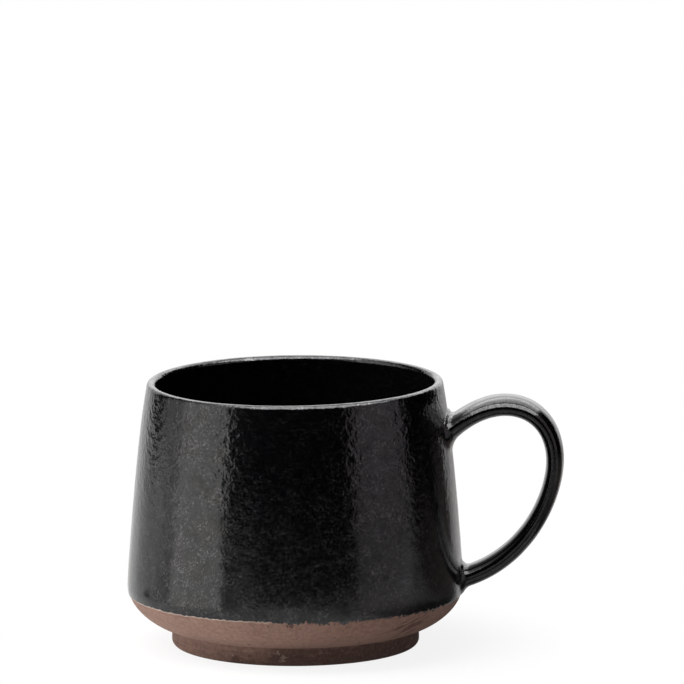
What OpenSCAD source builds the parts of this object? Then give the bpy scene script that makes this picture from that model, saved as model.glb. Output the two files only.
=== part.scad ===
// A wheel-thrown stoneware mug with a pulled strap handle, all one piece.
// The mug stands on Z = 0 with its axis on Z, and the handle points along +X. Lengths are in millimetres.

/* [Body] */
// Widest diameter, over the glaze
body_d = 102; // [94:0.5:116]
// Height of the widest part
widest_z = 18.2; // [14:0.1:30]
// Height over the lip
body_h = 81.4; // [74:0.2:110]
// Diameter over the lip
rim_d = 90; // [82:0.5:98]
// How far the top of the wall curls inward
rim_curl = 1.5; // [0:0.1:3]
// Pull of the shoulder straight down from the widest part
shoulder_drop = 7.4; // [4:0.1:9]
// Pull of the shoulder straight out from the foot
shoulder_run = 3.4; // [1:0.1:8]

/* [Walls] */
// Thickness of the rounded lip
lip_t = 2.8; // [2.2:0.1:4]
// Thickness of the side wall below the lip
wall_t = 4.2; // [3:0.1:5]
// Distance below the lip over which the wall thickens
lip_taper_h = 26; // [12:1:40]
// Thickness of the floor
floor_t = 5.8; // [4:0.1:8]
// Radius of the level part of the floor inside
floor_level_r = 26; // [16:1:32]

/* [Foot] */
// Diameter of the foot ring
foot_d = 75; // [68:0.5:80]
// Height of the foot ring's outer side
foot_h = 5.8; // [4.5:0.1:8]
// Width of the foot ring
foot_ring_w = 6; // [5:0.1:9]
// Depth of the hollow inside the foot ring
foot_hollow = 2.8; // [1.5:0.1:3.6]
// Rounding of the foot's outer lower edge
foot_edge_r = 1.7; // [0.6:0.1:2.4]
// Rounding of the foot's inner lower edge
foot_inner_edge_r = 0.8; // [0.4:0.1:1.4]

/* [Glaze] */
// Height of the glaze's lower edge
glaze_z = 15.8; // [12:0.1:24]
// Thickness of the glaze where it ends on the bare clay
glaze_t = 0.3; // [0.15:0.05:0.5]

/* [Handle] */
// Distance from the lip down to where the handle's middle line meets the wall
handle_top_drop = 16.6; // [13:0.2:20]
// Distance from the widest part up to where it comes back to the wall
handle_low_up = 2.4; // [2.2:0.2:10]
// How far the handle stands out past the widest part
handle_out = 30.5; // [24:0.5:42]
// Distance from its top join down to its outermost point
handle_side_drop = 7.8; // [4:0.2:14]
// Angle at which the handle leaves the wall at the top
handle_rise = 48; // [30:1:50]
// Angle at which the handle comes back to the wall at the bottom
handle_heel = 15; // [6:1:26]
// Width of the strap at the top join
strap_top_w = 18; // [14:0.5:22]
// Width of the strap at its outermost point
strap_side_w = 13; // [10:0.5:18]
// Width of the strap at the bottom join
strap_low_w = 10.5; // [9:0.5:16]
// Thickness of the strap at the top join
strap_top_t = 6.2; // [4.5:0.1:7]
// Thickness of the strap at its outermost point
strap_side_t = 5.4; // [4:0.1:7]
// Thickness of the strap at the bottom join
strap_low_t = 6.3; // [4.5:0.1:7]
// Radius of the clay worked round each join
join_r = 2.4; // [1:0.1:3]

/* [Hidden] */

glaze_colour = "#26262a";
clay_colour = "#8a6a5e";
round_fn = 160;

// Steps of the outline's long and short curves and of its roundings
wall_steps = 24;
curve_steps = 14;
arc_steps = 8;

clay_r = body_d / 2 - glaze_t;
lip_r = lip_t / 2;
lip_z = body_h - lip_r;
wall_lean = clay_r + glaze_t - rim_d / 2 - rim_curl;
// How softly the wall turns from upright at the widest part to its straight lean
wall_ease = 0.05;
foot_r = foot_d / 2;
foot_inner_r = foot_r - foot_ring_w;
floor_z = foot_hollow + floor_t;
// Width of the slope from the foot ring's inner edge up to its hollow
hollow_slope_w = 1.2;
// Angles at which the lip's rounding meets the outer and the inner wall
lip_outer_tilt = 9;
lip_inner_tilt = 4.5;
// Height of the glaze's rolled edge, and where its bulge is, as shares of that height and of the glaze
glaze_edge_h = 0.5;
glaze_bulge_z = 0.2;
glaze_bulge_t = 0.7;
// Where the inside starts to turn above the widest part, and the pulls of that turn
inner_turn_up = 4;
inner_turn_out = 0.3;
inner_turn_drop = 3.2;
inner_turn_reach = 11;

// Pulls of the handle's middle line, as shares of its reach or of its fall
rise_pull = 0.62;
crown_pull = 0.57;
side_pull = 0.27;
heel_pull = 0.76;
// The strap's section has slightly squared sides: 2 would be a plain ellipse.
section_power = 2.2;
section_sides = 28;
strap_steps = 26;
// How late along each half the strap's thickness changes: 1 would be evenly.
late_change = 3;
// Depth to which the handle's ends are sunk in the wall
join_depth = 1.2;
// Distance from the wall over which the strap's sections turn parallel to it
join_turn = 9;
// Share of the join's radius at which its rounding ends on the wall
join_lip = 0.12;

// One point of a cubic curve with four control points
function bezier(p, t) =
    pow(1 - t, 3) * p[0] + 3 * t * pow(1 - t, 2) * p[1] + 3 * t * t * (1 - t) * p[2] + pow(t, 3) * p[3];

// Direction of the same curve
function bezier_slope(p, t) =
    pow(1 - t, 2) * (p[1] - p[0]) + 2 * t * (1 - t) * (p[2] - p[1]) + t * t * (p[3] - p[2]);

function unit(v) = v / norm(v);

function clamp(x) = min(1, max(0, x));

function smooth(x) = let (c = clamp(x)) c * c * (3 - 2 * c);

// Points on an arc in a section, from one angle to another
function arc(centre, r, from, to) =
    [for (i = [0 : arc_steps]) let (a = from + (to - from) * i / arc_steps) centre + r * [cos(a), sin(a)]];

// How far the wall has drawn in from its widest, for t from 0 at the widest part to 1 at the lip
function wall_drop(t) =
    wall_lean * (sqrt(t * t + wall_ease * wall_ease) - wall_ease) / (sqrt(1 + wall_ease * wall_ease) - wall_ease)
    + rim_curl * pow(t, 4);

// Outer radius of the bare clay at a height above the widest part
function clay_wall_r(z) = clay_r - wall_drop(clamp((z - widest_z) / (lip_z - widest_z)));

// Outer radius of the glaze there; below the widest part, the widest radius
function glazed_r(z) = clay_wall_r(z) + glaze_t;

// Wall thickness, thin at the lip and full lower down
function thickness(z) = lip_t + (wall_t - lip_t) * smooth((lip_z - z) / lip_taper_h);

// The shoulder turns up from the foot to the widest part of the bare clay.
shoulder = [[foot_r, foot_h], [foot_r + shoulder_run, foot_h], [clay_r, widest_z - shoulder_drop], [clay_r, widest_z]];

clay_curve = concat(
    [for (i = [1 : curve_steps]) bezier(shoulder, i / curve_steps)],
    [for (i = [1 : wall_steps]) let (z = widest_z + (lip_z - widest_z) * i / wall_steps) [clay_wall_r(z), z]]);

// Radius of the bare clay at the glaze's edge, read from the curve
glaze_edge_r = lookup(glaze_z, [for (p = clay_curve) [p[1], p[0]]]);

// The inside runs down the wall and turns onto the level floor.
inner_turn_z = widest_z + inner_turn_up;
inner_turn_r = glazed_r(inner_turn_z) - wall_t;
inner_corner = [
    [inner_turn_r, inner_turn_z],
    [inner_turn_r + inner_turn_out, floor_z + inner_turn_drop],
    [floor_level_r + inner_turn_reach, floor_z],
    [floor_level_r, floor_z]
];

inner_curve = concat(
    [for (i = [1 : wall_steps - 1]) let (z = lip_z - (lip_z - inner_turn_z) * i / wall_steps)
        [glazed_r(z) - thickness(z), z]],
    [for (i = [0 : curve_steps]) bezier(inner_corner, i / curve_steps)]);

inner_edge_r = lookup(glaze_z, [for (p = inner_curve) [p[1], p[0]]]);

// Foot ring, underside and shoulder in bare clay, up to the level of the glaze's edge
clay_outline = concat(
    [[0, foot_hollow], [foot_inner_r - hollow_slope_w, foot_hollow]],
    arc([foot_inner_r + foot_inner_edge_r, foot_inner_edge_r], foot_inner_edge_r, 180, 270),
    arc([foot_r - foot_edge_r, foot_edge_r], foot_edge_r, -90, 0),
    [[foot_r, foot_h]],
    [for (p = clay_curve) if (p[1] < glaze_z) p],
    [[glaze_edge_r, glaze_z], [inner_edge_r, glaze_z]],
    [for (p = inner_curve) if (p[1] < glaze_z) p],
    [[0, floor_z]]);

// Glazed wall, from its rolled lower edge over the lip and down the inside to the same level
glazed_outline = concat(
    [[inner_edge_r, glaze_z], [glaze_edge_r, glaze_z]],
    [[glaze_edge_r + glaze_bulge_t * glaze_t, glaze_z + glaze_bulge_z * glaze_edge_h]],
    [for (p = clay_curve) if (p[1] > glaze_z + glaze_edge_h && p[1] < lip_z) p + [glaze_t, 0]],
    arc([rim_d / 2 - lip_r, lip_z], lip_r, lip_outer_tilt, 180 + lip_inner_tilt),
    [for (p = inner_curve) if (p[1] > glaze_z) p]);

// The handle's middle line: up and over to its outermost point, then down and back to the wall
handle_top_z = body_h - handle_top_drop;
handle_low_z = widest_z + handle_low_up;
handle_side_z = handle_top_z - handle_side_drop;
top_join = [glazed_r(handle_top_z) - join_depth, handle_top_z];
low_join = [glazed_r(handle_low_z) - join_depth, handle_low_z];
side_point = [body_d / 2 + handle_out - strap_side_t / 2, handle_side_z];
top_reach = side_point[0] - top_join[0];
low_reach = side_point[0] - low_join[0];
low_fall = handle_side_z - handle_low_z;

upper_line = [
    top_join,
    top_join + rise_pull * top_reach * [cos(handle_rise), sin(handle_rise)],
    side_point + [0, crown_pull * top_reach],
    side_point
];
lower_line = [
    side_point,
    side_point - [0, side_pull * low_fall],
    low_join + heel_pull * low_reach * [cos(handle_heel), sin(handle_heel)],
    low_join
];

// The middle line for u from 0 to 2, its direction, and the strap's width and thickness along it
function line_at(u) = u < 1 ? bezier(upper_line, u) : bezier(lower_line, u - 1);
function line_slope(u) = unit(u < 1 ? bezier_slope(upper_line, u) : bezier_slope(lower_line, u - 1));
function strap_w(u) = u < 1
    ? strap_top_w + (strap_side_w - strap_top_w) * smooth(u)
    : strap_side_w + (strap_low_w - strap_side_w) * smooth(u - 1);
function strap_t(u) = u < 1
    ? strap_top_t + (strap_side_t - strap_top_t) * pow(smooth(u), late_change)
    : strap_side_t + (strap_low_t - strap_side_t) * pow(smooth(u - 1), late_change);

function signed_power(x, p) = sign(x) * pow(abs(x), p);

// Growth of a section at a distance from the wall, which rounds the join
function join_growth(d) =
    let (gap = join_r - min(join_r, max(join_lip * join_r, d))) join_r - sqrt(join_r * join_r - gap * gap);

// One ring of the strap. Near the wall the section stands parallel to it and follows its roundness.
function strap_ring(u) =
    let (
        c = line_at(u),
        s = line_slope(u),
        across = [-s[1], s[0]],
        near = smooth(1 - (c[0] - glazed_r(c[1])) / join_turn),
        lie = unit((1 - near) * across + near * [0, sign(across[1])]),
        stretch = 1 / (lie * across),
        half_w = strap_w(u) / 2,
        half_t = strap_t(u) / 2
    )
    [for (i = [0 : section_sides - 1])
        let (
            a = 360 * i / section_sides,
            y = half_w * signed_power(cos(a), 2 / section_power),
            v = half_t * signed_power(sin(a), 2 / section_power),
            out = unit([
                signed_power(y / half_w, section_power - 1) / half_w,
                signed_power(v / half_t, section_power - 1) / half_t
            ]),
            bare_x = c[0] + lie[0] * v * stretch,
            bare_z = c[1] + lie[1] * v * stretch,
            growth = join_growth(norm([bare_x, y * (1 - near)]) - glazed_r(bare_z)),
            wide_y = y + out[0] * growth,
            wide_v = (v + out[1] * growth) * stretch,
            follow = near * (c[0] - sqrt(c[0] * c[0] - wide_y * wide_y))
        )
        [c[0] + lie[0] * wide_v - follow, wide_y, c[1] + lie[1] * wide_v]];

// Stations along the middle line, closer together at the joins
function station(i) = 1 - cos(180 * i / (2 * strap_steps));

// A turned body; its seam faces away from the handle.
module turned(outline) {
    rotate(180) rotate_extrude($fn = round_fn) polygon(outline);
}

// The pulled strap, swept along its middle line, with its ends sunk in the wall
module handle() {
    rings = [for (i = [0 : 2 * strap_steps]) strap_ring(station(i))];
    last = len(rings) - 1;
    n = section_sides;
    ends = [line_at(0), line_at(2)];
    points = concat([for (r = rings) each r], [for (e = ends) [e[0], 0, e[1]]]);
    first_hub = n * len(rings);
    sides = [for (k = [0 : last - 1], i = [0 : n - 1])
        let (a = k * n + i, b = k * n + (i + 1) % n, c = b + n, d = a + n)
        each [[a, c, b], [a, d, c]]];
    first_cap = [for (i = [0 : n - 1]) [first_hub, i, (i + 1) % n]];
    last_cap = [for (i = [0 : n - 1]) [first_hub + 1, last * n + (i + 1) % n, last * n + i]];
    polyhedron(points, concat(sides, first_cap, last_cap), convexity = 6);
}

module mug() {
    color(clay_colour) turned(clay_outline);
    color(glaze_colour) {
        turned(glazed_outline);
        handle();
    }
}

mug();
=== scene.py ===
"""A wheel-thrown stoneware mug with a pulled strap handle, in a small photo studio.

Lengths are in metres.
"""

import math

import bmesh
import bpy
from bpy.props import FloatProperty, FloatVectorProperty, IntProperty, PointerProperty
from mathutils import Matrix, Vector, noise


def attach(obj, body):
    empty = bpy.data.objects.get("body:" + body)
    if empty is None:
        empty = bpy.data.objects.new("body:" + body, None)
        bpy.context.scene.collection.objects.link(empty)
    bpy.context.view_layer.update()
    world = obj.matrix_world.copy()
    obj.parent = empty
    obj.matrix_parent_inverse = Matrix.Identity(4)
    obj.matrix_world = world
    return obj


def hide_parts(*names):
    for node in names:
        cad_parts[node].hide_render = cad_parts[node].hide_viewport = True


bl_info = {
    "name": "Stoneware Mug",
    "version": (1, 0, 0),
    "blender": (4, 5, 0),
    "location": "3D View > Sidebar > Mug",
    "description": "Builds a glazed mug with a bare clay foot, and the studio it stands in",
    "category": "Add Mesh",
}

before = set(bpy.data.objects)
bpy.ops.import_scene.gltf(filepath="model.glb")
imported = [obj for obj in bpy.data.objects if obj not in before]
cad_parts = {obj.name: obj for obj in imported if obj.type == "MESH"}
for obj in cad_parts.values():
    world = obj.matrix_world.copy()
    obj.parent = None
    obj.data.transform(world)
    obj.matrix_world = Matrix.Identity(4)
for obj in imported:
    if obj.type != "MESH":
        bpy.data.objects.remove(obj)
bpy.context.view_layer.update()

MM = 0.001
PIECE_NAME = "stoneware_mug"
GLAZE_LAYER = "glaze_rise"
TURNING_LAYER = "turning_run"

# What the glaze's layer holds while the body is turned, and later on the inside.
BARE, GLAZED, INSIDE = -1.0, 1.0, 2.0
WELL_GLAZED = 20 * MM

# Depths in millimetres of the relief that is too fine for the mesh.
GLAZE_RELIEF, GLAZE_STEP, CLAY_RELIEF, MARK_RELIEF = 0.19, 0.12, 0.05, -0.1

# The sensor's width in millimetres, and the rest of the framing in the photograph's pixels.
SENSOR_WIDTH = 36.0
PHOTO_WIDTH = 684
FOCAL_LENGTH = 9900.0
SHIFT_RIGHT, SHIFT_UP = 46.8, 171.0


def length(label, text, default, low=0.0, high=1.0):
    return FloatProperty(name=label, description=text, default=default, min=low, max=high, unit="LENGTH")


def angle(label, text, degrees):
    return FloatProperty(name=label, description=text, default=math.radians(degrees), subtype="ANGLE")


def share(label, text, default):
    return FloatProperty(
        name=label, description=text, default=default, min=0.0, max=1.0, subtype="FACTOR"
    )


def brightness(label, text, default):
    return FloatProperty(name=label, description=text, default=default, min=0.0)


def colour(label, text, default):
    return FloatVectorProperty(
        name=label, description=text, default=default, size=3, min=0.0, max=1.0, subtype="COLOR"
    )


class MugShape(bpy.types.PropertyGroup):
    """Sizes of the turned body and its foot"""

    body_width: length("Body width", "Widest diameter over the glaze", 102 * MM)
    widest_height: length("Widest height", "Height of the widest part", 18.2 * MM)
    body_height: length("Body height", "Height over the lip", 81.4 * MM)
    rim_width: length("Rim width", "Diameter over the lip", 90 * MM)
    rim_curl: length("Rim curl", "How far the top of the wall curls inward", 1.5 * MM)
    lip_thickness: length("Lip thickness", "Thickness of the rounded lip", 2.8 * MM)
    wall_thickness: length("Wall thickness", "Thickness of the side wall", 4.2 * MM)
    lip_taper: length("Lip taper", "Distance below the lip over which the wall thickens", 26 * MM)
    floor_thickness: length("Floor thickness", "Thickness of the floor", 5.8 * MM)
    floor_level_radius: length("Level floor radius", "Radius of the level part of the floor", 26 * MM)
    foot_width: length("Foot width", "Diameter of the foot ring", 75 * MM)
    foot_height: length("Foot height", "Height of the foot ring's outer side", 5.8 * MM)
    foot_ring: length("Foot ring", "Width of the foot ring", 6 * MM)
    foot_hollow: length("Foot hollow", "Depth of the hollow inside the foot ring", 2.8 * MM)
    foot_edge: length("Foot edge", "Rounding of the foot's outer lower edge", 1.7 * MM)
    foot_inner_edge: length("Foot inner edge", "Rounding of the foot's inner lower edge", 0.8 * MM)
    shoulder_drop: length("Shoulder drop", "Pull of the shoulder down from the widest part", 7.4 * MM)
    shoulder_run: length("Shoulder run", "Pull of the shoulder out from the foot", 3.4 * MM)
    glaze_height: length("Glaze height", "Height of the glaze's lower edge", 15.8 * MM)
    glaze_thickness: length("Glaze thickness", "Thickness of the glaze at its lower edge", 0.3 * MM)
    rim_lean: angle("Rim lean", "How far the rim is out of level", 0.55)
    rim_lean_turn: angle("Rim lean turn", "Where the rim is highest, from the handle", 34)
    rim_wobble: length("Rim wobble", "Height of the rim's two soft waves", 0.11 * MM)
    sway: length("Sway", "Unevenness of the hand-turned wall", 0.16 * MM)
    dimples: length("Dimples", "Depth of the broad dimples in the glaze", 0.05 * MM)
    turns: IntProperty(name="Turns", description="Steps of the lathe round the body", default=288, min=32)


class HandleShape(bpy.types.PropertyGroup):
    """Sizes of the pulled strap handle"""

    top_drop: length("Top drop", "Distance from the lip down to the top join", 16.6 * MM)
    low_rise: length("Low rise", "Distance from the widest part up to the lower join", 2.4 * MM)
    reach: length("Reach", "How far the handle stands out past the widest part", 30.5 * MM)
    side_drop: length("Side drop", "Distance from the top join to the outermost point", 7.8 * MM)
    rise: angle("Rise", "Angle at which the handle leaves the wall", 48)
    heel: angle("Heel", "Angle at which the handle comes back to the wall", 15)
    top_width: length("Top width", "Width of the strap at the top join", 18 * MM)
    side_width: length("Side width", "Width of the strap at its outermost point", 13 * MM)
    low_width: length("Low width", "Width of the strap at the lower join", 10.5 * MM)
    top_thickness: length("Top thickness", "Thickness of the strap at the top join", 6.2 * MM)
    side_thickness: length("Side thickness", "Thickness of the strap at its outermost point", 5.4 * MM)
    low_thickness: length("Low thickness", "Thickness of the strap at the lower join", 6.3 * MM)
    join: length("Join", "Radius of the clay worked round each join", 2.4 * MM)
    sides: IntProperty(name="Sides", description="Sides of the strap's section", default=56, min=12)
    steps: IntProperty(name="Steps", description="Sections along each half of the strap", default=64, min=8)


class MugFinish(bpy.types.PropertyGroup):
    """Colours and gloss of the glaze and the bare clay"""

    glaze_dark: colour("Glaze", "The glaze's own colour", (0.0012, 0.0011, 0.0019))
    glaze_pale: colour("Cool veins", "Pale crystals that float in the glaze", (0.15, 0.152, 0.162))
    glaze_warm: colour("Warm veins", "Where the crystals are browner", (0.16, 0.157, 0.154))
    clay_colour: colour("Clay", "Bare fired clay", (0.31, 0.178, 0.135))
    # The clay's own dark marks, and also the colour of the painted shade on the foot.
    clay_marks_and_shade: colour("Clay shadow", "Darker marks in the bare clay", (0.085, 0.038, 0.027))
    clay_pale: colour("Clay dust", "Pale grit in the bare clay", (0.42, 0.31, 0.26))
    # A pale line where the glaze thins at its edge; it is laid only on the lit left side, so it is also a
    # painted highlight.
    edge_break_and_glint: colour("Glaze edge", "Thin pale line where the glaze ends", (0.62, 0.52, 0.45))
    glaze_roughness: share("Glaze roughness", "Roughness of the smooth glaze", 0.13)
    vein_roughness: share("Vein roughness", "Roughness of the pale crystals", 0.26)


class StudioSettings(bpy.types.PropertyGroup):
    """Brightness of the lamps, and the camera's place"""

    left_level: brightness("Left level", "Brightness of the left softbox", 1.4)
    left_outer_level: brightness("Left outer level", "Brightness of the softbox past the left one", 0.6)
    left_low_level: brightness("Left low level", "Brightness of the low lamp at the left in gloss", 0.3)
    right_level: brightness("Right level", "Brightness of the right softbox", 0.22)
    right_gloss: brightness("Right gloss", "Further brightness of the right softbox in gloss", 0.25)
    top_level: brightness("Top level", "Brightness of the top softbox", 0.2)
    top_gloss: brightness("Top gloss", "Further brightness of the top softbox in gloss", 5.5)
    rear_gloss: brightness("Rear gloss", "Brightness of the rear softbox in gloss", 2.3)
    wall_gloss: brightness("Wall gloss", "Further brightness of the rear wall in gloss", 0.6)
    left_fill: brightness("Left fill", "Brightness of the high lamp on the left", 4.7)
    room_level: brightness("Room level", "Light of the white backdrop", 0.6)
    camera_turn: angle("Camera turn", "How far the camera stands round to the right", 4.5)
    camera_lift: angle("Camera lift", "How far the camera looks down at the mug", 10.64)
    camera_roll: angle("Camera roll", "Tilt of the camera", 0.2)
    camera_distance: length("Camera distance", "From the camera to the mug", 3.0, low=0.5, high=20.0)
    aim_height: length("Aim height", "Height on the mug's axis that the framing is given for", 40 * MM)


def ease(x):
    """0 to 1 with a soft start and end."""
    x = min(1.0, max(0.0, x))
    return x * x * (3 - 2 * x)


def blend(a, b, t):
    return a + (b - a) * t


def powered(x, power):
    """A power that keeps the sign."""
    return math.copysign(abs(x) ** power, x)


def cubic(points, t):
    """A point of the curve that four points pull."""
    a, b, c, d = points
    return (1 - t) ** 3 * a + 3 * t * (1 - t) ** 2 * b + 3 * t * t * (1 - t) * c + t**3 * d


def cubic_slope(points, t):
    a, b, c, d = points
    return ((1 - t) ** 2 * (b - a) + 2 * t * (1 - t) * (c - b) + t * t * (d - c)).normalized()


def arc(centre, radius, start, end, steps):
    """Points of an arc in the lathe's plane, by angles in degrees."""
    angles = [math.radians(blend(start, end, i / steps)) for i in range(steps + 1)]
    return [centre + radius * Vector((math.cos(a), math.sin(a))) for a in angles]


def steps_between(low, high, count):
    """The two ends and the even steps between them."""
    return [blend(low, high, i / count) for i in range(count + 1)]


class Lathe:
    """The turned body's outline in points of radius and height.

    It runs from the middle of the underside over the lip to the middle of the floor.
    """

    def __init__(self, shape):
        self.shape = shape
        self.lip_radius = shape.lip_thickness / 2
        self.lip_height = shape.body_height - self.lip_radius
        self.clay_radius = shape.body_width / 2 - shape.glaze_thickness
        self.lean = shape.body_width / 2 - shape.rim_width / 2 - shape.rim_curl
        self.foot_radius = shape.foot_width / 2
        self.shoulder = [
            Vector((self.foot_radius, shape.foot_height)),
            Vector((self.foot_radius + shape.shoulder_run, shape.foot_height)),
            Vector((self.clay_radius, shape.widest_height - shape.shoulder_drop)),
            Vector((self.clay_radius, shape.widest_height)),
        ]
        self.shoulder_points = [cubic(self.shoulder, t) for t in steps_between(0, 1, 400)]

    def wall_radius(self, height):
        """Outer radius of the glaze, at or above the widest part."""
        shape = self.shape
        t = (height - shape.widest_height) / (self.lip_height - shape.widest_height)
        t = min(1.0, max(0.0, t))
        soft = 0.05
        drawn = (math.hypot(t, soft) - soft) / (math.hypot(1, soft) - soft)
        return shape.body_width / 2 - self.lean * drawn - shape.rim_curl * t**4

    def clay_surface(self, height):
        """Outer radius of the bare clay at any height above the foot."""
        if height >= self.shape.widest_height:
            return self.wall_radius(height) - self.shape.glaze_thickness
        points = self.shoulder_points
        for a, b in zip(points, points[1:]):
            if b.y >= height:
                return blend(a.x, b.x, max(0.0, height - a.y) / max(1e-9, b.y - a.y))
        return points[-1].x

    def thickness(self, height):
        """Thickness of the wall at a height."""
        shape = self.shape
        taper = ease((self.lip_height - height) / shape.lip_taper)
        return blend(shape.lip_thickness, shape.wall_thickness, taper)

    def underside(self):
        """The hollow and the ring round it, with its two broken edges."""
        shape = self.shape
        slope_width, corner_width, corner_drop = 1.2 * MM, 0.6 * MM, 0.12 * MM
        inner = self.foot_radius - shape.foot_ring
        hollow = inner - slope_width
        flat = [Vector((r, shape.foot_hollow)) for r in steps_between(0, hollow - corner_width, 22)]
        slope = [Vector((hollow, shape.foot_hollow - corner_drop))]
        round_in, round_out = shape.foot_inner_edge, shape.foot_edge
        inner_edge = arc(Vector((inner + round_in, round_in)), round_in, 180, 270, 8)
        outer_start = self.foot_radius - round_out
        ring = [Vector((r, 0)) for r in steps_between(inner_edge[-1].x, outer_start, 5)]
        outer_edge = arc(Vector((outer_start, round_out)), round_out, -90, 0, 12)
        return flat + slope + inner_edge + ring[1:-1] + outer_edge

    def bare_clay(self):
        """The foot's side, the crease over it and the shoulder, up to the glaze's edge."""
        shape = self.shape
        crease = 0.35 * MM
        crease_start = shape.foot_height - crease
        side = [Vector((self.foot_radius, z)) for z in steps_between(shape.foot_edge, crease_start, 9)]
        fillet = arc(Vector((self.foot_radius + crease, crease_start)), crease, 180, 92, 5)
        points = [cubic(self.shoulder, t) for t in steps_between(0.05, 1, 60)]
        return side[1:] + fillet[1:] + [p for p in points if p.y < shape.glaze_height - 0.05 * MM]

    def glazed_outside(self):
        """The glaze's rolled lower edge, the shoulder's top and the wall, up to the lip."""
        shape = self.shape
        edge = shape.glaze_height
        # Shares of the glaze's thickness, and millimetres over its edge.
        roll = [(0.0, 0.0), (0.35, 0.015), (0.7, 0.08), (0.9, 0.2), (1.0, 0.42), (1.0, 0.8)]
        points = [
            Vector((self.clay_surface(edge + rise * MM) + out * shape.glaze_thickness, edge + rise * MM))
            for out, rise in roll
        ]
        wall = steps_between(edge + 1.3 * MM, self.lip_height - 0.4 * MM, 78)
        return points + [Vector((self.clay_surface(z) + shape.glaze_thickness, z)) for z in wall]

    def lip(self):
        """The rounded lip, from the outside to the inside."""
        centre = Vector((self.shape.rim_width / 2 - self.lip_radius, self.lip_height))
        return arc(centre, self.lip_radius, 9, 184.5, 18)

    def inside(self):
        """The inner wall, its rounded corner and the floor."""
        shape = self.shape
        corner_rise, corner_lean, corner_drop, corner_run = 4 * MM, 0.3 * MM, 3.2 * MM, 11 * MM
        turn = shape.widest_height + corner_rise
        floor = shape.foot_hollow + shape.floor_thickness
        corner_start = self.wall_radius(turn) - shape.wall_thickness
        corner = [
            Vector((corner_start, turn)),
            Vector((corner_start + corner_lean, floor + corner_drop)),
            Vector((shape.floor_level_radius + corner_run, floor)),
            Vector((shape.floor_level_radius, floor)),
        ]
        wall = steps_between(self.lip_height - 0.8 * MM, turn, 46)
        down = [Vector((self.wall_radius(z) - self.thickness(z), z)) for z in wall]
        turned = [cubic(corner, t) for t in steps_between(0, 1, 26)]
        level = [Vector((r, floor)) for r in steps_between(shape.floor_level_radius, 0, 18)]
        return down + turned[1:] + level[1:]

    def glaze_wave(self, turn):
        """How far the glaze's edge runs down or stops short at an angle round the body."""
        way = Vector((math.cos(turn), math.sin(turn), 0.0))
        broad = 0.28 * MM * noise.noise(way * 2.1 + Vector((3.1, 0, 0)))
        return broad + 0.16 * MM * noise.noise(way * 7.5)


def turned_body(lathe):
    """Spins the outline, and lets the rim lean, the wall sway and the glaze's edge wander."""
    below = lathe.underside() + lathe.bare_clay()
    outside = lathe.glazed_outside() + lathe.lip()
    outline = below + outside + lathe.inside()
    inner_start = len(below) + len(outside)
    bm = bmesh.new()
    turning = bm.verts.layers.float.new(TURNING_LAYER)
    glazed = bm.verts.layers.float.new(GLAZE_LAYER)
    chain = [bm.verts.new((p.x, 0, p.y)) for p in outline]
    run = 0.0
    for i, vert in enumerate(chain):
        if i:
            run += (outline[i] - outline[i - 1]).length
        vert[turning] = run
        vert[glazed] = BARE if i < len(below) else GLAZED if i < inner_start else INSIDE
    edges = [bm.edges.new(pair) for pair in zip(chain, chain[1:])]
    bmesh.ops.spin(
        bm, geom=chain + edges, axis=(0, 0, 1), angle=math.tau, steps=lathe.shape.turns, use_merge=True
    )
    poles = [v for v in bm.verts if math.hypot(v.co.x, v.co.y) < 1e-6]
    bmesh.ops.remove_doubles(bm, verts=poles, dist=1e-6)
    bmesh.ops.recalc_face_normals(bm, faces=bm.faces)
    for vert in bm.verts:
        sway_vertex(vert, lathe, glazed)
    return bm


def sway_vertex(vert, lathe, glazed):
    """Moves one vertex of the turned body, never out past its sizes."""
    shape = lathe.shape
    edge_reach, sway_start, sway_reach, inset = 5 * MM, 8 * MM, 60 * MM, 0.02 * MM
    height = vert.co.z
    radius = math.hypot(vert.co.x, vert.co.y)
    if radius < 1e-6:
        return
    turn = math.atan2(vert.co.y, vert.co.x)
    near_edge = 1 - ease(abs(height - shape.glaze_height) / edge_reach)
    if vert[glazed] < INSIDE and near_edge > 0 and radius > lathe.foot_radius:
        moved = height + near_edge * lathe.glaze_wave(turn)
        radius += lathe.clay_surface(moved) - lathe.clay_surface(height)
        height = moved
    up = ease((height - sway_start) / sway_reach)
    way = Vector((math.cos(turn), math.sin(turn), height * 9))
    radius -= shape.sway * up * (0.5 + 0.5 * noise.noise(way * 1.3)) + inset
    lean_arm = max(0.0, shape.rim_width / 2 - radius * math.cos(turn - shape.rim_lean_turn))
    height -= up * (math.tan(shape.rim_lean) * lean_arm + shape.rim_wobble * (1 + math.sin(2 * turn)))
    vert.co = (radius * math.cos(turn), radius * math.sin(turn), height)


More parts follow.
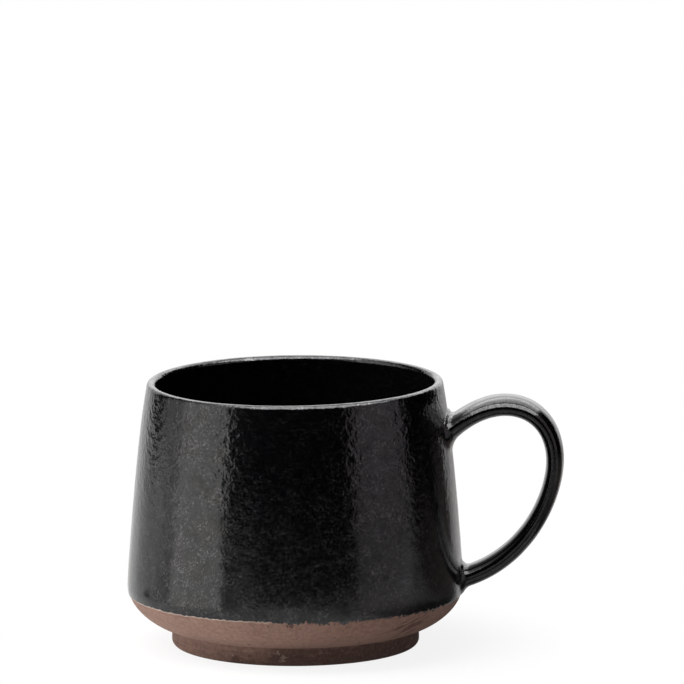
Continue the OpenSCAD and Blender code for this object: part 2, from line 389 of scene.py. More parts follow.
class Strap:
    """The handle's middle line and its sections."""

    # How far the middle line keeps its direction, as shares of the reach or of the drop.
    TOP_PULL, CREST_PULL, SIDE_PULL, HEEL_PULL = 0.62, 0.57, 0.27, 0.76
    # The power of a section's outline: 2 is an ellipse, and more has fuller corners.
    FULLNESS, FULLNESS_LESS_1 = 2.2, 1.2
    # How deep the ends lie in the wall, and how near it the sections turn parallel to it.
    DEPTH, TURNING_REACH = 1.2 * MM, 9 * MM

    def __init__(self, shape, lathe):
        self.shape = shape
        self.lathe = lathe
        body = lathe.shape
        top = body.body_height - shape.top_drop
        low = body.widest_height + shape.low_rise
        out = body.body_width / 2 + shape.reach - shape.side_thickness / 2
        side = Vector((out, top - shape.side_drop))
        top_join = Vector((lathe.wall_radius(top) - self.DEPTH, top))
        low_join = Vector((lathe.wall_radius(low) - self.DEPTH, low))
        top_reach = side.x - top_join.x
        low_reach = side.x - low_join.x
        rise = Vector((math.cos(shape.rise), math.sin(shape.rise)))
        heel = Vector((math.cos(shape.heel), math.sin(shape.heel)))
        up = Vector((0, 1))
        top_pull = top_join + self.TOP_PULL * top_reach * rise
        crest_pull = side + self.CREST_PULL * top_reach * up
        side_pull = side - self.SIDE_PULL * (side.y - low) * up
        heel_pull = low_join + self.HEEL_PULL * low_reach * heel
        self.upper = [top_join, top_pull, crest_pull, side]
        self.lower = [side, side_pull, heel_pull, low_join]

    def middle(self, u):
        """A point of the middle line; u is 0 at the top join, 1 at the side and 2 at the lower join."""
        return cubic(self.upper, u) if u < 1 else cubic(self.lower, u - 1)

    def direction(self, u):
        return cubic_slope(self.upper, u) if u < 1 else cubic_slope(self.lower, u - 1)

    def size(self, u):
        """Width and thickness of the strap."""
        s = self.shape
        if u < 1:
            t = ease(u)
            return blend(s.top_width, s.side_width, t), blend(s.top_thickness, s.side_thickness, t**3)
        t = ease(u - 1)
        return blend(s.side_width, s.low_width, t), blend(s.side_thickness, s.low_thickness, t**3)

    def growth(self, distance):
        """How much a section grows at a distance from the wall, which rounds the join."""
        join = self.shape.join
        gap = join - min(join, max(0.04 * join, distance))
        return join - math.sqrt(join * join - gap * gap)

    def section(self, u):
        """The points of one section, which turns parallel to the wall near it."""
        centre = self.middle(u)
        along = self.direction(u)
        across = Vector((-along.y, along.x))
        width, thickness = self.size(u)
        wall = self.lathe.wall_radius
        near = ease(1 - (centre.x - wall(centre.y)) / self.TURNING_REACH)
        upright = Vector((0, math.copysign(1, across.y)))
        lie = ((1 - near) * across + near * upright).normalized()
        stretch = 1 / lie.dot(across)
        points = []
        for i in range(self.shape.sides):
            a = math.tau * i / self.shape.sides
            round_y = powered(math.cos(a), 2 / self.FULLNESS)
            round_v = powered(math.sin(a), 2 / self.FULLNESS)
            y = width / 2 * round_y
            v = thickness / 2 * round_v
            out_y = powered(round_y, self.FULLNESS_LESS_1) / width
            out = Vector((out_y, powered(round_v, self.FULLNESS_LESS_1) / thickness)).normalized()
            bare = centre + lie * v * stretch
            away = math.hypot(bare.x, y * (1 - near)) - wall(bare.y)
            growth = self.growth(away)
            y += out.x * growth
            v = (v + out.y * growth) * stretch
            follow = near * (centre.x - math.sqrt(centre.x**2 - y * y))
            spot = centre + lie * v
            points.append(Vector((spot.x - follow, y, spot.y)))
        return points


def pulled_strap(strap):
    """Extrudes section after section from a circle and places them along the middle line."""
    steps = strap.shape.steps
    bm = bmesh.new()
    made = bmesh.ops.create_circle(bm, cap_ends=False, radius=MM, segments=strap.shape.sides)
    ring = list(made["verts"])
    first = ring
    for i in range(2 * steps + 1):
        u = 1 - math.cos(math.pi * i / (2 * steps))
        if i:
            edges = [e for e in bm.edges if e.verts[0] in ring_set and e.verts[1] in ring_set]
            grown = bmesh.ops.extrude_edge_only(bm, edges=edges)["geom"]
            new = {v for v in grown if isinstance(v, bmesh.types.BMVert)}
            ring = [next(e.other_vert(v) for e in v.link_edges if e.other_vert(v) in new) for v in ring]
        ring_set = set(ring)
        for vert, place in zip(ring, strap.section(u)):
            vert.co = place
    bmesh.ops.contextual_create(bm, geom=first)
    bmesh.ops.contextual_create(bm, geom=ring)
    bmesh.ops.recalc_face_normals(bm, faces=bm.faces)
    return bm


def mesh_object(name, bm):
    """Puts the bmesh into a new object of the scene."""
    mesh = bpy.data.meshes.new(name)
    bm.to_mesh(mesh)
    bm.free()
    thing = bpy.data.objects.new(name, mesh)
    bpy.context.scene.collection.objects.link(thing)
    return thing


def joined(body, strap):
    """Joins the strap to the body, and returns the mesh as a bmesh."""
    # With two empty slots on both, the union keeps the strap's faces apart from the body's.
    for thing in (body, strap):
        for _ in range(2):
            thing.data.materials.append(None)
    for face in strap.data.polygons:
        face.material_index = 1
    union = body.modifiers.new("Join", "BOOLEAN")
    union.operation = "UNION"
    union.solver = "EXACT"
    union.object = strap
    union.material_mode = "INDEX"
    bpy.context.view_layer.update()
    result = body.evaluated_get(bpy.context.evaluated_depsgraph_get())
    bm = bmesh.new()
    bm.from_mesh(result.to_mesh())
    result.to_mesh_clear()
    for thing in (strap, body):
        bpy.data.meshes.remove(thing.data)
    return bm


def seam_between(bm):
    """The vertices where the strap's faces meet the body's."""
    return {v for v in bm.verts if len({f.material_index for f in v.link_faces}) > 1}


def soften_joins(bm):
    """Rubs the seam between the strap and the wall smooth."""
    bmesh.ops.remove_doubles(bm, verts=list(seam_between(bm)), dist=0.12 * MM)
    rings = [seam_between(bm)]
    for _ in range(4):
        rings.append(rings[-1] | {e.other_vert(v) for v in rings[-1] for e in v.link_edges})
    for reach in (1, 2, 3, 4, 3, 2, 3, 1):
        bmesh.ops.smooth_vert(
            bm, verts=list(rings[reach]), factor=0.5, use_axis_x=True, use_axis_y=True, use_axis_z=True
        )
    for face in bm.faces:
        face.material_index = 0
        face.smooth = True
    bm.normal_update()


def finish_surface(bm, lathe):
    """Sets the glaze's layer to the height over its lower edge, and presses broad dimples into it."""
    shape = lathe.shape
    thin_wall, dimple_start, dimple_scale = 1.8 * MM, 0.6 * MM, 210
    glazed = bm.verts.layers.float[GLAZE_LAYER]
    in_floor = shape.foot_hollow + 0.5 * shape.floor_thickness
    moves = []
    for vert in bm.verts:
        radius = math.hypot(vert.co.x, vert.co.y)
        turn = math.atan2(vert.co.y, vert.co.x)
        edge = shape.glaze_height + lathe.glaze_wave(turn)
        outer = lathe.clay_surface(max(vert.co.z, shape.foot_height))
        inside = vert.co.z > in_floor and radius < outer - thin_wall
        vert[glazed] = WELL_GLAZED if inside else vert.co.z - edge
        if vert[glazed] > dimple_start:
            broad = noise.noise(vert.co * dimple_scale)
            small = noise.noise(vert.co * (2 * dimple_scale))
            moves.append((vert, vert.normal * (shape.dimples * (0.5 + 0.5 * broad + 0.25 * small))))
    for vert, move in moves:
        vert.co -= move


class Tree:
    """Short ways to add and join nodes in one node tree."""

    def __init__(self, tree):
        self.tree = tree
        self.column = 0

    def add(self, kind, **settings):
        node = self.tree.nodes.new(kind)
        self.column += 1
        node.location = (180 * (self.column // 4), -220 * (self.column % 4))
        for name, value in settings.items():
            setattr(node, name, value)
        return node

    def put(self, socket, value):
        """Joins an output to the socket, or sets the socket to a plain value."""
        if isinstance(value, bpy.types.NodeSocket):
            self.tree.links.new(value, socket)
        else:
            socket.default_value = value

    def math(self, operation, *values, clamp=False):
        node = self.add("ShaderNodeMath", operation=operation, use_clamp=clamp)
        for socket, value in zip(node.inputs, values):
            self.put(socket, value)
        return node.outputs[0]

    def times(self, a, b, clamp=False):
        return self.math("MULTIPLY", a, b, clamp=clamp)

    def plus(self, a, b, clamp=False):
        return self.math("ADD", a, b, clamp=clamp)

    def most(self, a, b):
        return self.math("MAXIMUM", a, b)

    def rest(self, a):
        return self.math("SUBTRACT", 1.0, a)

    def mix(self, factor, a, b):
        node = self.add("ShaderNodeMix", data_type="RGBA")
        for index, value in ((0, factor), (6, a), (7, b)):
            self.put(node.inputs[index], value)
        return node.outputs[2]

    def mix_value(self, factor, a, b):
        node = self.add("ShaderNodeMix", data_type="FLOAT")
        for index, value in ((0, factor), (2, a), (3, b)):
            self.put(node.inputs[index], value)
        return node.outputs[0]

    def noise(self, vector, scale, detail=2.0, roughness=0.5, distortion=0.0):
        node = self.add("ShaderNodeTexNoise")
        self.put(node.inputs["Vector"], vector)
        self.put(node.inputs["Scale"], scale)
        for name, value in (("Detail", detail), ("Roughness", roughness), ("Distortion", distortion)):
            node.inputs[name].default_value = value
        return node.outputs[0]

    def fit(self, value, low, high, to_low=0.0, to_high=1.0, smooth=False):
        """Maps low to to_low and high to to_high, and holds both beyond."""
        node = self.add("ShaderNodeMapRange")
        if smooth:
            node.interpolation_type = "SMOOTHSTEP"
        names = ("Value", "From Min", "From Max", "To Min", "To Max")
        for name, number in zip(names, (value, low, high, to_low, to_high)):
            self.put(node.inputs[name], number)
        return node.outputs[0]

    def ease(self, *values):
        """Fits with a soft start and end."""
        return self.fit(*values, smooth=True)

    def mapped(self, vector, **values):
        """A vector that is turned or stretched."""
        node = self.add("ShaderNodeMapping")
        self.put(node.inputs["Vector"], vector)
        for name, value in values.items():
            node.inputs[name].default_value = value
        return node.outputs[0]

    def parts(self, vector):
        """The X, Y and Z of a vector."""
        node = self.add("ShaderNodeSeparateXYZ")
        self.put(node.inputs[0], vector)
        return tuple(node.outputs)

    def place_group(self, group, values):
        """Adds a node group with its inputs set, and returns its outputs."""
        node = self.add("ShaderNodeGroup", node_tree=group)
        for name, value in values.items():
            self.put(node.inputs[name], value)
        return node.outputs


def opaque(tone):
    return (*tone, 1)


def grey(level):
    return (level, level, level, 1)


def shader_group(name, inputs, outputs):
    """A node group with named sockets: the group, its tree, its inputs and its results."""
    group = bpy.data.node_groups.new(name, "ShaderNodeTree")
    for label, kind, default in inputs:
        socket = group.interface.new_socket(name=label, in_out="INPUT", socket_type=kind)
        if default is not None:
            socket.default_value = default
    for label, kind in outputs:
        group.interface.new_socket(name=label, in_out="OUTPUT", socket_type=kind)
    tree = Tree(group)
    given = tree.add("NodeGroupInput").outputs
    result = tree.add("NodeGroupOutput").inputs
    return group, tree, given, result


FLOAT = "NodeSocketFloat"
COLOUR = "NodeSocketColor"
VECTOR = "NodeSocketVector"


def glaze_group():
    """Black glaze with fine curled pale veins in patches, over small dimples."""
    group, tree, given, result = shader_group(
        "Mottled Glaze",
        [
            ("Vector", VECTOR, None),
            ("Glaze", COLOUR, (0, 0, 0, 1)),
            ("Veins", COLOUR, (0.05, 0.05, 0.05, 1)),
            ("Warm Veins", COLOUR, (0.05, 0.05, 0.05, 1)),
            ("Vein Scale", FLOAT, 740.0),
            ("Smooth Roughness", FLOAT, 0.2),
            ("Vein Roughness", FLOAT, 0.27),
            ("Vein Metal", FLOAT, 0.8),
            ("Vein Strength", FLOAT, 1.0),
        ],
        [("Color", COLOUR), ("Metallic", FLOAT), ("Roughness", FLOAT), ("Height", FLOAT)],
    )
    vector = given["Vector"]
    scale = given["Vein Scale"]
    coarse = tree.noise(vector, scale, 3, 0.62, 1.0)
    curl = tree.fit(tree.math("ABSOLUTE", tree.math("SUBTRACT", coarse, 0.5)), 0.0, 0.04, 1.0, 0.0)
    breaks = tree.fit(tree.noise(vector, tree.times(scale, 1.4)), 0.34, 0.54)
    dots = tree.fit(tree.noise(vector, tree.times(scale, 2.6), 1), 0.58, 0.7)
    veins = tree.most(tree.times(curl, breaks), tree.times(dots, 0.6))
    patches = tree.fit(tree.noise(vector, 240.0, 3, 0.6), 0.3, 0.62, 0.3, 1.0)
    haze = tree.fit(tree.noise(vector, 300.0, 4, 0.7), 0.46, 0.66, 0.0, 0.05)
    amount = tree.times(tree.times(veins, patches), given["Vein Strength"])
    browner = tree.fit(tree.noise(vector, 150.0, 3), 0.35, 0.65)
    hue = tree.mix(browner, given["Veins"], given["Warm Veins"])
    tree.put(result["Color"], tree.mix(amount, given["Glaze"], hue))
    metal = tree.times(tree.most(amount, haze), 8.0, clamp=True)
    tree.put(result["Metallic"], tree.times(metal, given["Vein Metal"]))
    roughness = tree.mix_value(amount, given["Smooth Roughness"], given["Vein Roughness"])
    tree.put(result["Roughness"], roughness)
    peel = tree.noise(vector, 460.0, 1.5, 0.5)
    ripple = tree.noise(vector, 1200.0, 1.0)
    tree.put(result["Height"], tree.plus(peel, tree.times(ripple, 0.4)))
    return group


def clay_group():
    """Bare clay with turning lines, dark marks and pale grit, and painted shade where Low is given."""
    group, tree, given, result = shader_group(
        "Bare Clay",
        [
            ("Vector", VECTOR, None),
            ("Run", FLOAT, 0.0),
            ("Low", FLOAT, 0.0),
            ("Clay", COLOUR, (0.25, 0.14, 0.1, 1)),
            ("Marks", COLOUR, (0.12, 0.06, 0.05, 1)),
            ("Grit", COLOUR, (0.4, 0.3, 0.25, 1)),
        ],
        [("Color", COLOUR), ("Roughness", FLOAT), ("Height", FLOAT)],
    )
    vector = given["Vector"]
    turned = tree.add("ShaderNodeCombineXYZ")
    right, back, _ = tree.parts(vector)
    tree.put(turned.inputs[0], tree.times(right, 22.0))
    tree.put(turned.inputs[1], tree.times(back, 22.0))
    tree.put(turned.inputs[2], tree.times(given["Run"], 1500.0))
    lines = tree.noise(turned.outputs[0], 1.0, 3, 0.65)
    cloud = tree.noise(vector, 90.0, 4, 0.6)
    grain = tree.noise(vector, 1100.0, 3, 0.7)
    shade = tree.fit(tree.plus(tree.times(lines, 0.45), tree.times(cloud, 0.55)), 0.35, 0.62)
    blotch = tree.fit(tree.noise(tree.mapped(vector, Scale=(1, 1, 2.5)), 260.0, 4, 0.65), 0.35, 0.65)
    # The painted shade on the foot comes in through Low, broken up by the clay's mottling, and darker adds
    # it to the clay's own streaks.
    foot_shade = tree.times(tree.fit(tree.plus(shade, blotch), 0.2, 1.7, 0.05, 1.0), given["Low"])
    darker = tree.plus(tree.times(shade, 0.3), foot_shade, clamp=True)
    mottle = tree.fit(tree.noise(vector, 800.0, 2), 0.6, 0.35, 0.0, 0.28)
    grit = tree.fit(tree.noise(vector, 700.0, 2, 0.6), 0.68, 0.74)
    specks = tree.fit(tree.noise(vector, 430.0, 1.0), 0.27, 0.22)
    base = given["Clay"]
    for amount, tone in (
        (darker, "Marks"),
        (tree.fit(grain, 0.35, 0.7, 0.0, 0.3), "Grit"),
        (mottle, "Marks"),
        (tree.times(grit, 0.5), "Grit"),
        (tree.times(specks, 0.8), "Marks"),
    ):
        base = tree.mix(amount, base, given[tone])
    tree.put(result["Color"], base)
    tree.put(result["Roughness"], tree.fit(grain, 0.3, 0.7, 0.72, 0.92))
    tree.put(result["Height"], tree.plus(tree.times(lines, 0.7), tree.times(grain, 0.5)))
    return group


def painted_foot_shade(tree, right, up, shape):
    """Painted shade on the foot: deeper under the shoulder, deepest at its lower edge and on the handle's
    side, away from the left softbox.
    """
    crease = shape.foot_height
    foot = tree.ease(up, crease + 0.6 * MM, crease - 1.1 * MM, 0.0, 0.66)
    edge = tree.ease(up, 3.4 * MM, 0.6 * MM, 0.0, 0.5)
    side = tree.ease(right, -25 * MM, 22 * MM, 0.6, 2.2)
    return tree.times(tree.plus(foot, edge), side)


def ragged_rise(tree, place, rise, left):
    """The height over the glaze's edge, which is ragged and calmer at the left."""
    teeth = tree.noise(tree.mapped(place, Scale=(1, 1, 0.3)), 800.0, 3, 0.6)
    ragged = tree.fit(tree.noise(place, 60.0, 1), 0.42, 0.6, 0.7, 1.1)
    ragged = tree.times(ragged, tree.mix_value(left, 1.0, 0.3))
    teeth = tree.times(tree.fit(teeth, 0.3, 0.7, -MM, MM), ragged)
    return tree.plus(rise, tree.plus(teeth, tree.times(left, -0.35 * MM)))


def spot(tree, place, turn, radius, rise, reach):
    """1 at a point on the mug, falling to 0 within the reach; the turn is in degrees from the handle."""
    turn = math.radians(turn)
    far = tree.add("ShaderNodeVectorMath", operation="DISTANCE")
    tree.put(far.inputs[0], place)
    tree.put(far.inputs[1], (radius * math.cos(turn), radius * math.sin(turn), rise))
    return tree.ease(far.outputs["Value"], 0.0, reach, 1.0, 0.0)


def clay_marks(tree, place):
    """Masks for the pale pits, the dark chips and the slanting scratches."""
    specks = tree.noise(place, 900.0, 2, 0.6)
    pitted = tree.times(spot(tree, place, -92.5, 37.5 * MM, 2.8 * MM, 4 * MM), 0.2)
    pits = tree.fit(tree.plus(specks, pitted), 0.68, 0.72)
    foot_chips = spot(tree, place, -114, 37.3 * MM, 0.6 * MM, 4 * MM)
    glaze_chips = spot(tree, place, -87.3, 50.3 * MM, 15.1 * MM, 2 * MM)
    chipped = tree.times(tree.most(foot_chips, glaze_chips), 0.3)
    chips = tree.fit(tree.plus(specks, chipped), 0.7, 0.76)
    scratched = spot(tree, place, -40, 47 * MM, 11.5 * MM, 10 * MM)
    slanting = tree.mapped(tree.mapped(place, Rotation=(0.0, 0.38, 0.58)), Scale=(150, 150, 1500))
    grooves = tree.fit(tree.noise(slanting, 1.0, 2, 0.6), 0.5, 0.58)
    grooves = tree.times(grooves, tree.fit(scratched, 0.0, 0.5))
    return pits, chips, grooves


def mug_material(finish, shape):
    """Glaze above its ragged lower edge and bare clay below it."""
    material = bpy.data.materials.new("Glazed stoneware")
    material.use_nodes = True
    tree = Tree(material.node_tree)
    shader = material.node_tree.nodes["Principled BSDF"]
    place = tree.add("ShaderNodeTexCoord").outputs["Object"]
    rise = tree.add("ShaderNodeAttribute", attribute_name=GLAZE_LAYER).outputs["Fac"]
    run = tree.add("ShaderNodeAttribute", attribute_name=TURNING_LAYER).outputs["Fac"]
    right, _, up = tree.parts(place)

    # Veins and ripples are weaker on the handle, and the ripples fade towards the shoulder.
    outward = tree.plus(right, tree.times(up, 0.095))
    on_body = tree.ease(outward, 53.2 * MM, 55 * MM, 1.0, 0.3)
    ripple = tree.times(on_body, tree.ease(up, 30 * MM, 66 * MM, 0.2, 1.0))
    glaze = tree.place_group(glaze_group(), {
        "Vector": place,
        "Glaze": opaque(finish.glaze_dark),
        "Veins": opaque(finish.glaze_pale),
        "Warm Veins": opaque(finish.glaze_warm),
        "Smooth Roughness": finish.glaze_roughness,
        "Vein Roughness": finish.vein_roughness,
        "Vein Metal": tree.ease(up, 64 * MM, 36 * MM, 0.94, 0.8),
        "Vein Strength": on_body,
    })
    clay = tree.place_group(clay_group(), {
        "Vector": place,
        "Run": run,
        # Low carries the painted shade on the foot.
        "Low": painted_foot_shade(tree, right, up, shape),
        "Clay": opaque(finish.clay_colour),
        "Marks": opaque(finish.clay_marks_and_shade),
        "Grit": opaque(finish.clay_pale),
    })

    left = tree.ease(right, -12 * MM, 6 * MM, 1.0, 0.0)
    edge = ragged_rise(tree, place, rise, left)
    mask = tree.ease(edge, -0.06 * MM, 0.06 * MM)
    # Pale line along the glaze's edge, laid only on the left where the softbox light falls: partly the
    # glaze thinning, partly a painted highlight.
    edge_line_and_glint = tree.math("ABSOLUTE", tree.plus(edge, 0.12 * MM))
    edge_line_and_glint = tree.times(tree.ease(edge_line_and_glint, 0.0, 0.24 * MM, 1.0, 0.0), left)
    pits, chips, grooves = clay_marks(tree, place)
    bare = clay["Color"]
    for marks, strength, tone in (
        (pits, 0.6, finish.clay_pale),
        (chips, 0.85, finish.clay_marks_and_shade),
        (grooves, 0.75, finish.clay_marks_and_shade),
    ):
        bare = tree.mix(tree.times(marks, strength), bare, opaque(tone))
    base = tree.mix(mask, bare, glaze["Color"])
    base = tree.mix(tree.times(edge_line_and_glint, 0.75), base, opaque(finish.edge_break_and_glint))
    tree.put(shader.inputs["Base Color"], base)
    tree.put(shader.inputs["Metallic"], tree.times(glaze["Metallic"], mask))
    tree.put(shader.inputs["Roughness"], tree.mix_value(mask, clay["Roughness"], glaze["Roughness"]))
    shader.inputs["IOR"].default_value = 1.52

    sunk = tree.times(tree.most(tree.most(pits, chips), grooves), MARK_RELIEF)
    clay_height = tree.plus(tree.times(clay["Height"], CLAY_RELIEF), sunk)
    glaze_height = tree.times(tree.times(glaze["Height"], ripple), GLAZE_RELIEF)
    step = tree.times(tree.ease(edge, -0.1 * MM, 0.25 * MM), GLAZE_STEP)
    height = tree.plus(tree.mix_value(mask, clay_height, glaze_height), step)
    bump = tree.add("ShaderNodeBump")
    bump.inputs["Distance"].default_value = MM
    bump.inputs["Strength"].default_value = 1.0
    tree.put(bump.inputs["Height"], height)
    tree.put(shader.inputs["Normal"], bump.outputs["Normal"])
    return material


class MUG_OT_add_mug(bpy.types.Operator):
    """Turn the body, pull and join the handle, and glaze them"""

    bl_idname = "mug.add_mug"
    bl_label = "Add mug"

    def execute(self, context):
        scene = context.scene
        lathe = Lathe(scene.mug_shape)
        body = mesh_object("turned_body", turned_body(lathe))
        strap = mesh_object("pulled_strap", pulled_strap(Strap(scene.mug_handle, lathe)))
        bm = joined(body, strap)
        soften_joins(bm)
        finish_surface(bm, lathe)
        if any(not edge.is_manifold for edge in bm.edges):
            raise RuntimeError("the mug's surface isn't closed")
        mug = mesh_object(PIECE_NAME, bm)
        mug.data.materials.clear()
        mug.data.materials.append(mug_material(scene.mug_finish, scene.mug_shape))
        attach(mug, "root")
        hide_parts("mug")
        return {"FINISHED"}


def lamp(name, level, size, place, aim, tint=(1, 1, 1), seen_in="both"):
    """A softbox that faces a point, for gloss, diffuse light or both; the level is its brightness."""
    width, height = size
    light = bpy.data.lights.new(name, "AREA")
    light.shape = "RECTANGLE"
    light.size = width
    light.size_y = height
    light.color = tint
    light.energy = level * width * height * 4
    thing = bpy.data.objects.new(name, light)
    thing.location = place
    thing.rotation_euler = (Vector(aim) - Vector(place)).to_track_quat("-Z", "Y").to_euler()
    thing.visible_diffuse = seen_in != "gloss"
    thing.visible_glossy = seen_in != "diffuse"
    bpy.context.scene.collection.objects.link(thing)


def plain_material(name, level, roughness=0.8):
    """A grey material of that level, without gloss."""
    material = bpy.data.materials.new(name)
    material.use_nodes = True
    shader = material.node_tree.nodes["Principled BSDF"]
    shader.inputs["Base Color"].default_value = grey(level)
    shader.inputs["Roughness"].default_value = roughness
    shader.inputs["Specular IOR Level"].default_value = 0.0
    return material


def seen_directly(tree):
    """1 for rays that show the background: from the camera, in gloss or through glass."""
    path = tree.add("ShaderNodeLightPath").outputs
    seen = tree.most(path["Is Camera Ray"], path["Is Glossy Ray"])
    return tree.most(seen, path["Is Transmission Ray"])


def white_floor():
    """A pale floor that shows white to the camera, with the mug's light shadow near the mug.

    Away from the camera it is pale at the left and dark at the right, a painted shade that in gloss is
    deepest beside the mug; in gloss it also gives off a painted glow, brighter at the left.
    """
    material = plain_material("Floor", 1.0, roughness=0.08)
    tree = Tree(material.node_tree)
    shader = material.node_tree.nodes["Principled BSDF"]
    path = tree.add("ShaderNodeLightPath").outputs
    camera, glossy = path["Is Camera Ray"], path["Is Glossy Ray"]
    place = tree.add("ShaderNodeTexCoord").outputs["Object"]
    length_of = tree.add("ShaderNodeVectorMath", operation="LENGTH")
    tree.put(length_of.inputs[0], place)
    away = length_of.outputs["Value"]
    right, back, _ = tree.parts(place)

    # Parts of the floor: beside the mug, round it, behind it at the right, next to the mug, and left of it;
    # the parts behind and next to the mug hold painted shadow.
    beside = tree.ease(tree.plus(right, back), -0.03, 0.04)
    near = tree.most(tree.ease(back, -0.45, -0.17), beside)
    behind = tree.times(tree.ease(right, 0.02, 0.06, 0.0, 0.88), tree.ease(back, 0.0, 0.05))
    shadow_beside = tree.times(tree.ease(away, 0.22, 0.1, 0.0, 0.95), beside)
    left = tree.times(tree.ease(right, -0.07, 0.07, 1.0, 0.0), near)

    # Away from the camera the floor is pale at the left and carries painted shade at the right, near black
    # in gloss next to the mug.
    left_tone = tree.mix(glossy, grey(0.95), grey(0.62))
    shaded_right_tone = tree.mix(tree.times(shadow_beside, glossy), (0.2, 0.16, 0.14, 1), grey(0.06))
    tone = tree.mix(camera, tree.mix(left, shaded_right_tone, left_tone), grey(1.0))
    tree.put(shader.inputs["Base Color"], tone)
    tree.put(shader.inputs["Specular IOR Level"], tree.rest(camera))

    white = tree.ease(away, 0.04, 0.09, 0.87, 1.0)
    lit = tree.rest(tree.most(behind, shadow_beside))
    # A painted glow that the floor gives off only in gloss, brighter at the left, dimmed by the painted
    # shadow behind and next to the mug.
    pale = tree.times(tree.ease(right, 0.0, 0.12, 0.68, 0.36), near)
    pale = tree.times(tree.times(pale, lit), glossy)
    glow = tree.add("ShaderNodeEmission")
    mix = tree.add("ShaderNodeMixShader")
    tree.put(mix.inputs[0], tree.plus(tree.times(camera, white), pale))
    tree.put(mix.inputs[1], shader.outputs[0])
    tree.put(mix.inputs[2], glow.outputs[0])
    tree.put(material.node_tree.nodes["Material Output"].inputs["Surface"], mix.outputs[0])
    return material


def add_floor(turn):
    """Two sheets, by their middles and half sizes: one under the mug and one farther left."""
    sheets = (((0.295, 0.185), (0.425, 0.645)), ((-0.465, 0.44), (0.335, 0.39)))
    bm = bmesh.new()
    for middle, half in sheets:
        place = Matrix.Translation((*middle, 0)) @ Matrix.Diagonal((*half, 1, 1))
        bmesh.ops.create_grid(bm, x_segments=1, y_segments=1, size=1.0, matrix=place)
    bmesh.ops.transform(bm, matrix=turn, verts=bm.verts)
    floor = mesh_object("floor", bm)
    floor.data.materials.append(white_floor())


def add_drape(turn):
    """Dark cloth all round and overhead but open at the back; the camera looks through it."""
    half_opening = math.radians(42)
    bm = bmesh.new()
    bmesh.ops.create_cone(bm, cap_ends=True, segments=72, radius1=1.7, radius2=1.7, depth=2.6)
    opening = []
    for face in bm.faces:
        middle = face.calc_center_median()
        if abs(face.normal.z) < 0.5 and abs(math.atan2(middle.x, middle.y)) < half_opening:
            opening.append(face)
    bmesh.ops.delete(bm, geom=opening, context="FACES")
    bmesh.ops.transform(bm, matrix=turn, verts=bm.verts)
    drape = mesh_object("drape", bm)
    drape.data.materials.append(plain_material("Drape", 0.0))
    drape.visible_camera = False


def add_lamps(studio, turn):
    """Softboxes at the left and the right, overhead and behind."""
    warm, cool, rosy = (1, 0.985, 0.96), (0.96, 0.86, 1), (1, 0.93, 0.88)
    tall, low_height, right_height = 0.45, -0.04, 0.455

    def at(degrees, distance, height):
        """A point round the mug, by degrees to the right of the camera."""
        a = math.radians(degrees)
        return turn @ Vector((distance * math.sin(a), -distance * math.cos(a), height))

    def standing(name, level, size, degrees, distance, height, tint, seen_in="both"):
        """A softbox that stands upright and faces the mug's axis."""
        lamp(name, level, size, at(degrees, distance, height), at(0, 0, height), tint, seen_in)

    standing("softbox_left", studio.left_level, (0.476, 1.19), -71.5, 0.62, tall, warm)
    standing("softbox_left_outer", studio.left_outer_level, (0.264, 1.19), -104.5, 0.65, tall, warm)
    standing(
        "softbox_left_low", studio.left_low_level, (0.23, 0.1), -38.5, 0.62, low_height, warm, "gloss"
    )
    right_size, right, aim = (0.66, 0.9), at(64, 0.8, right_height), at(0, 0, right_height)
    lamp("softbox_right", studio.right_level, right_size, right, aim, rosy)
    farther = right * 1.03  # clear of the other lamp
    lamp("softbox_right_gloss", studio.right_gloss, right_size, farther, aim, cool, "gloss")
    lamp(
        "fill_left", studio.left_fill, (0.5, 0.8), at(-80, 0.45, 0.75), at(-80, 0.1, 0), warm, "diffuse"
    )

    front, above = turn @ Vector((0, -0.475, 0.95)), turn @ Vector((0.225, -0.475, 0.97))
    rear, behind = turn @ Vector((0.225, 0.95, 0.95)), turn @ Vector((0.225, 1.6, 0.6))
    down, ahead = Vector((0, 0, -1)), turn @ Vector((0, -1, 0))
    for name, level, size, place, facing, seen_in in (
        ("softbox_top", studio.top_level, (1.1, 1.25), front, down, "both"),
        ("softbox_top_gloss", studio.top_gloss, (1.55, 1.25), above, down, "gloss"),
        ("softbox_rear_gloss", studio.rear_gloss, (1.55, 1.3), rear, down, "gloss"),
        ("wall_gloss", studio.wall_gloss, (1.55, 0.7), behind, ahead, "gloss"),
    ):
        lamp(name, level, size, place, place + facing, seen_in=seen_in)


def add_room(scene, studio):
    """White all round, and a softer white where it only lights."""
    world = bpy.data.worlds.new("White room")
    world.use_nodes = True
    scene.world = world
    tree = Tree(world.node_tree)
    background = world.node_tree.nodes["Background"]
    background.inputs["Color"].default_value = (1, 1, 1, 1)
    tree.put(background.inputs["Strength"], tree.mix_value(seen_directly(tree), studio.room_level, 1.0))


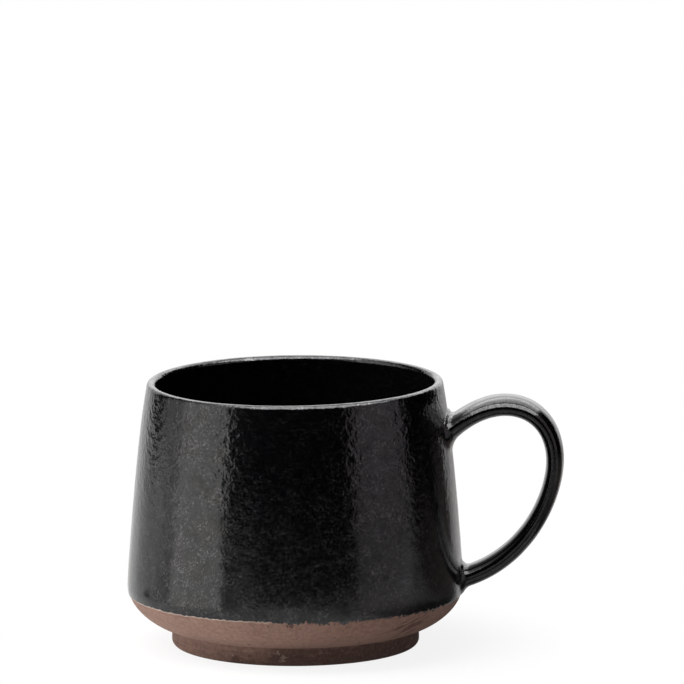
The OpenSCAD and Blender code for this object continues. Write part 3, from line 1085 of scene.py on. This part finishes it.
def add_camera(scene, studio):
    """Stands where the photograph was taken from, and frames the mug low and left of the middle."""
    data = bpy.data.cameras.new("camera")
    data.sensor_width = SENSOR_WIDTH
    data.lens = FOCAL_LENGTH / PHOTO_WIDTH * SENSOR_WIDTH
    data.clip_end = 50.0
    aim = Vector((0, 0, studio.aim_height))
    lift = studio.camera_lift
    back = Vector((
        math.sin(studio.camera_turn) * math.cos(lift),
        -math.cos(studio.camera_turn) * math.cos(lift),
        math.sin(lift),
    ))
    ahead = -back
    right = ahead.cross(Vector((0, 0, 1))).normalized()
    up = right.cross(ahead)
    roll = Matrix.Rotation(studio.camera_roll, 3, ahead)
    right, up = roll @ right, roll @ up
    shift = right * (SHIFT_RIGHT / FOCAL_LENGTH) + up * (SHIFT_UP / FOCAL_LENGTH)
    ahead = (ahead + shift).normalized()
    right = ahead.cross(up).normalized()
    up = right.cross(ahead)
    turn = Matrix((right, up, -ahead)).transposed()
    camera = bpy.data.objects.new("camera", data)
    camera.matrix_world = Matrix.Translation(aim + back * studio.camera_distance) @ turn.to_4x4()
    scene.collection.objects.link(camera)
    scene.camera = camera


class MUG_OT_add_studio(bpy.types.Operator):
    """Set up the floor, the softboxes, the dark drape, the white room and the camera"""

    bl_idname = "mug.add_studio"
    bl_label = "Add studio"

    def execute(self, context):
        studio = context.scene.mug_studio
        turn = Matrix.Rotation(studio.camera_turn, 4, "Z")
        add_floor(turn)
        add_drape(turn)
        add_lamps(studio, turn)
        add_room(context.scene, studio)
        add_camera(context.scene, studio)
        return {"FINISHED"}


class MUG_PT_panel(bpy.types.Panel):
    """Lists the sizes, the finish and the steps"""

    bl_label = "Stoneware mug"
    bl_idname = "MUG_PT_panel"
    bl_space_type = "VIEW_3D"
    bl_region_type = "UI"
    bl_category = "Mug"

    def draw(self, context):
        layout = self.layout
        for step in (MUG_OT_add_mug, MUG_OT_add_studio):
            layout.operator(step.bl_idname)
        for title, group in SETTINGS.items():
            box = layout.box()
            box.label(text=group.__doc__)
            for name in group.__annotations__:
                box.prop(getattr(context.scene, title), name)


SETTINGS = {
    "mug_shape": MugShape,
    "mug_handle": HandleShape,
    "mug_finish": MugFinish,
    "mug_studio": StudioSettings,
}
CLASSES = (MUG_OT_add_mug, MUG_OT_add_studio, MUG_PT_panel)


def register():
    for title, group in SETTINGS.items():
        bpy.utils.register_class(group)
        setattr(bpy.types.Scene, title, PointerProperty(type=group))
    for kind in CLASSES:
        bpy.utils.register_class(kind)


def unregister():
    for kind in reversed(CLASSES):
        bpy.utils.unregister_class(kind)
    for title, group in SETTINGS.items():
        delattr(bpy.types.Scene, title)
        bpy.utils.unregister_class(group)


def main():
    register()
    bpy.context.scene.view_settings.view_transform = "Standard"
    bpy.ops.mug.add_mug()
    bpy.ops.mug.add_studio()


if __name__ == "__main__":
    main()
